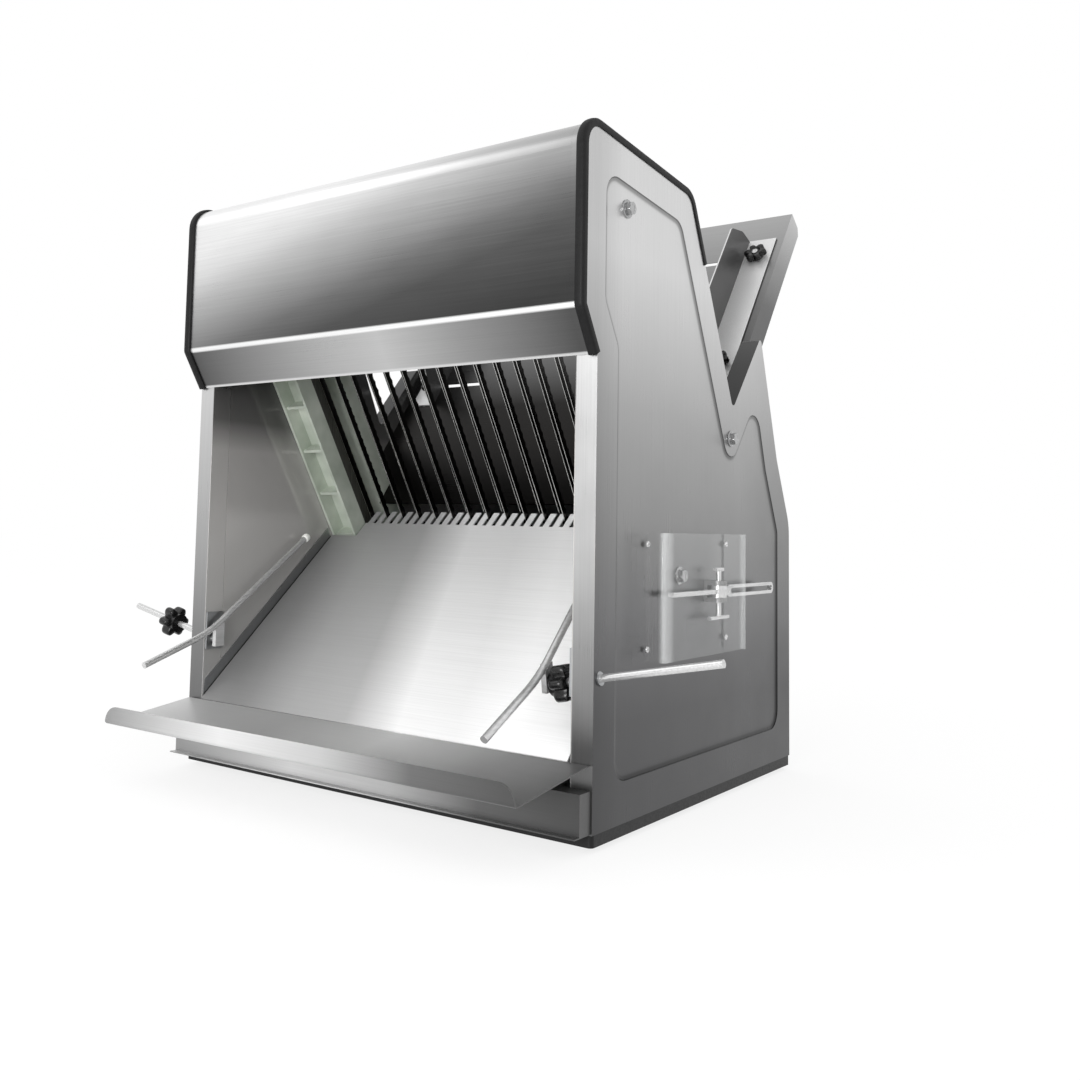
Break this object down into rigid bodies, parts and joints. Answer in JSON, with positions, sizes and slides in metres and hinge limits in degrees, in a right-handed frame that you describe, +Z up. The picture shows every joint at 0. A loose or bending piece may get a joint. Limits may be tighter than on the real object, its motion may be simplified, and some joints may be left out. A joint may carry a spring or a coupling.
{
  "type": "commercial bread slicer",
  "caption": "Countertop bread slicer: sloping loaf ramp at the back, interleaved reciprocating blade frames under a rounded hood, comb slope and tray at the front.",
  "frame": {"origin": "on the floor under the middle of the machine's overall box", "axes": "+Z up, -Y towards the front (discharge tray), +Y towards the back (loaf ramp), +X towards the side with the clear guard"},
  "size_m": [0.8596, 0.749, 0.776],
  "materials": {
    "painted_black": "satin black powder coat",
    "rubber_black": "smooth black rubber",
    "brushed_stainless": "fine brushed stainless sheet",
    "mirror_stainless": "mirror polished stainless sheet",
    "knob_black": "moulded black plastic",
    "slide_plastic": "dense dark plastic",
    "cast_aluminium": "cast aluminium with a light coat",
    "blade_steel": "hardened blade strip",
    "machined_steel": "turned steel",
    "cast_iron": "machined cast iron",
    "painted_grey": "grey paint",
    "polished_steel": "polished stainless",
    "white_plastic": "white plastic",
    "clear_acrylic": "clear acrylic sheet",
    "green_plastic": "green plastic",
    "red_plastic": "red plastic"
  },
  "bodies": {
    "root": {"base_pan": "painted_black", "rubber_feet": "rubber_black", "hood_trim_left": "rubber_black", "hood_trim_right": "rubber_black", "drive_belt": "rubber_black", "side_panel_left": "brushed_stainless", "side_panel_right": "brushed_stainless", "hood_cover": "brushed_stainless", "throat_plate": "brushed_stainless", "infeed_plate": "brushed_stainless", "discharge_slope": "brushed_stainless", "discharge_tray": "brushed_stainless", "rear_cover": "brushed_stainless", "guide_bush_left": "brushed_stainless", "guide_bush_right": "brushed_stainless", "inner_liner_left": "mirror_stainless", "inner_liner_right": "mirror_stainless", "guide_column_left": "slide_plastic", "guide_column_right": "slide_plastic", "switch_box": "slide_plastic", "cable_gland": "slide_plastic", "crank_bearings": "machined_steel", "motor": "painted_grey", "motor_mount": "painted_grey", "bearing_stand": "painted_grey", "panel_bolts": "polished_steel", "lever_bracket": "polished_steel", "clear_guard": "clear_acrylic"},
    "front_frame": {"front_blade_frame": "cast_aluminium", "front_frame_arms": "cast_aluminium", "front_blades": "blade_steel"},
    "rear_frame": {"rear_blade_frame": "cast_aluminium", "rear_frame_arms": "cast_aluminium", "rear_blades": "blade_steel"},
    "front_rod": {"front_connecting_rod": "machined_steel"},
    "rear_rod": {"rear_connecting_rod": "machined_steel"},
    "crank": {"crankshaft": "machined_steel", "driven_pulley": "cast_iron"},
    "motor_rotor": {"motor_shaft": "machined_steel", "motor_pulley": "cast_iron"},
    "drawer": {"crumb_drawer": "brushed_stainless"},
    "left_rod": {"guide_rod_left": "polished_steel", "guide_tip_left": "white_plastic"},
    "right_rod": {"guide_rod_right": "polished_steel", "guide_tip_right": "white_plastic"},
    "left_rod_knob": {"guide_knob_left": "knob_black"},
    "right_rod_knob": {"guide_knob_right": "knob_black"},
    "left_infeed_guide": {"infeed_guide_left": "brushed_stainless", "guide_clamp_left": "brushed_stainless"},
    "right_infeed_guide": {"infeed_guide_right": "brushed_stainless", "guide_clamp_right": "brushed_stainless"},
    "left_low_knob": {"infeed_knob_low_left": "knob_black"},
    "right_low_knob": {"infeed_knob_low_right": "knob_black"},
    "left_high_knob": {"infeed_knob_high_left": "knob_black"},
    "right_high_knob": {"infeed_knob_high_right": "knob_black"},
    "lever": {"side_lever": "polished_steel"},
    "clamp_screw": {"lever_screw": "polished_steel"},
    "start": {"start_button": "green_plastic"},
    "stop": {"stop_button": "red_plastic"}
  },
  "joints": [
    {"name": "front_frame_slide", "type": "slide", "parent": "root", "child": "front_frame", "axis": [0, 0.5225, -0.8526], "range_m": [-0.02, 0.02]},
    {"name": "rear_frame_slide", "type": "slide", "parent": "root", "child": "rear_frame", "axis": [0, 0.5225, -0.8526], "range_m": [-0.02, 0.02]},
    {"name": "front_rod_pivot", "type": "hinge", "parent": "front_frame", "child": "front_rod", "pos_m": [-0.08, 0.08793, 0.2183], "axis": [1, 0, 0], "range_deg": [0, 32.25]},
    {"name": "rear_rod_pivot", "type": "hinge", "parent": "rear_frame", "child": "rear_rod", "pos_m": [0.08, 0.08793, 0.2183], "axis": [1, 0, 0], "range_deg": [-32.25, 0]},
    {"name": "crank_spin", "type": "hinge", "parent": "root", "child": "crank", "pos_m": [0, 0.12398, 0.15947], "axis": [1, 0, 0], "continuous": true},
    {"name": "motor_spin", "type": "hinge", "parent": "root", "child": "motor_rotor", "pos_m": [0, 0.19848, 0.085], "axis": [1, 0, 0], "continuous": true},
    {"name": "crumb_drawer_slide", "type": "slide", "parent": "root", "child": "drawer", "axis": [0, -1, 0], "range_m": [0, 0.25]},
    {"name": "left_rod_slide", "type": "slide", "parent": "root", "child": "left_rod", "axis": [-0.9799, 0, 0.1994], "range_m": [-0.034, 0.004]},
    {"name": "right_rod_slide", "type": "slide", "parent": "root", "child": "right_rod", "axis": [0.9799, 0, 0.1994], "range_m": [-0.06, 0]},
    {"name": "left_rod_knob_turn", "type": "hinge", "parent": "left_rod", "child": "left_rod_knob", "pos_m": [-0.35, -0.23452, 0.17617], "axis": [-0.9799, 0, 0.1994], "continuous": true},
    {"name": "right_rod_knob_turn", "type": "hinge", "parent": "right_rod", "child": "right_rod_knob", "pos_m": [0.257, -0.23452, 0.15725], "axis": [0.9799, 0, 0.1994], "continuous": true},
    {"name": "left_infeed_guide_slide", "type": "slide", "parent": "root", "child": "left_infeed_guide", "axis": [-1, 0, 0], "range_m": [-0.1, 0.006]},
    {"name": "right_infeed_guide_slide", "type": "slide", "parent": "root", "child": "right_infeed_guide", "axis": [1, 0, 0], "range_m": [-0.1, 0.006]},
    {"name": "left_low_knob_turn", "type": "hinge", "parent": "left_infeed_guide", "child": "left_low_knob", "pos_m": [-0.244, 0.16938, 0.53132], "axis": [0, -0.8021, 0.5972], "continuous": true},
    {"name": "left_high_knob_turn", "type": "hinge", "parent": "left_infeed_guide", "child": "left_high_knob", "pos_m": [-0.244, 0.29718, 0.70297], "axis": [0, -0.8021, 0.5972], "continuous": true},
    {"name": "right_low_knob_turn", "type": "hinge", "parent": "right_infeed_guide", "child": "right_low_knob", "pos_m": [0.244, 0.16938, 0.53132], "axis": [0, -0.8021, 0.5972], "continuous": true},
    {"name": "right_high_knob_turn", "type": "hinge", "parent": "right_infeed_guide", "child": "right_high_knob", "pos_m": [0.244, 0.29718, 0.70297], "axis": [0, -0.8021, 0.5972], "continuous": true},
    {"name": "lever_swing", "type": "hinge", "parent": "root", "child": "lever", "pos_m": [0.312, 0.01548, 0.243], "axis": [0, 0, 1], "range_deg": [-2.5, 2.5]},
    {"name": "clamp_screw_turn", "type": "hinge", "parent": "root", "child": "clamp_screw", "pos_m": [0.312, 0.01548, 0.243], "axis": [0, 0, 1], "range_deg": [-15, 15]},
    {"name": "start_press", "type": "slide", "parent": "root", "child": "start", "axis": [1, 0, 0], "range_m": [0, 0.003], "stiffness_N_per_m": 400, "springref_m": -0.002},
    {"name": "stop_press", "type": "slide", "parent": "root", "child": "stop", "axis": [1, 0, 0], "range_m": [0, 0.003], "stiffness_N_per_m": 400, "springref_m": -0.002}
  ],
  "couplings": [
    {"joint": "rear_frame_slide", "follows": "front_frame_slide", "ratio": -1},
    {"joint": "motor_spin", "follows": "crank_spin", "ratio": 2.2917}
  ]
}
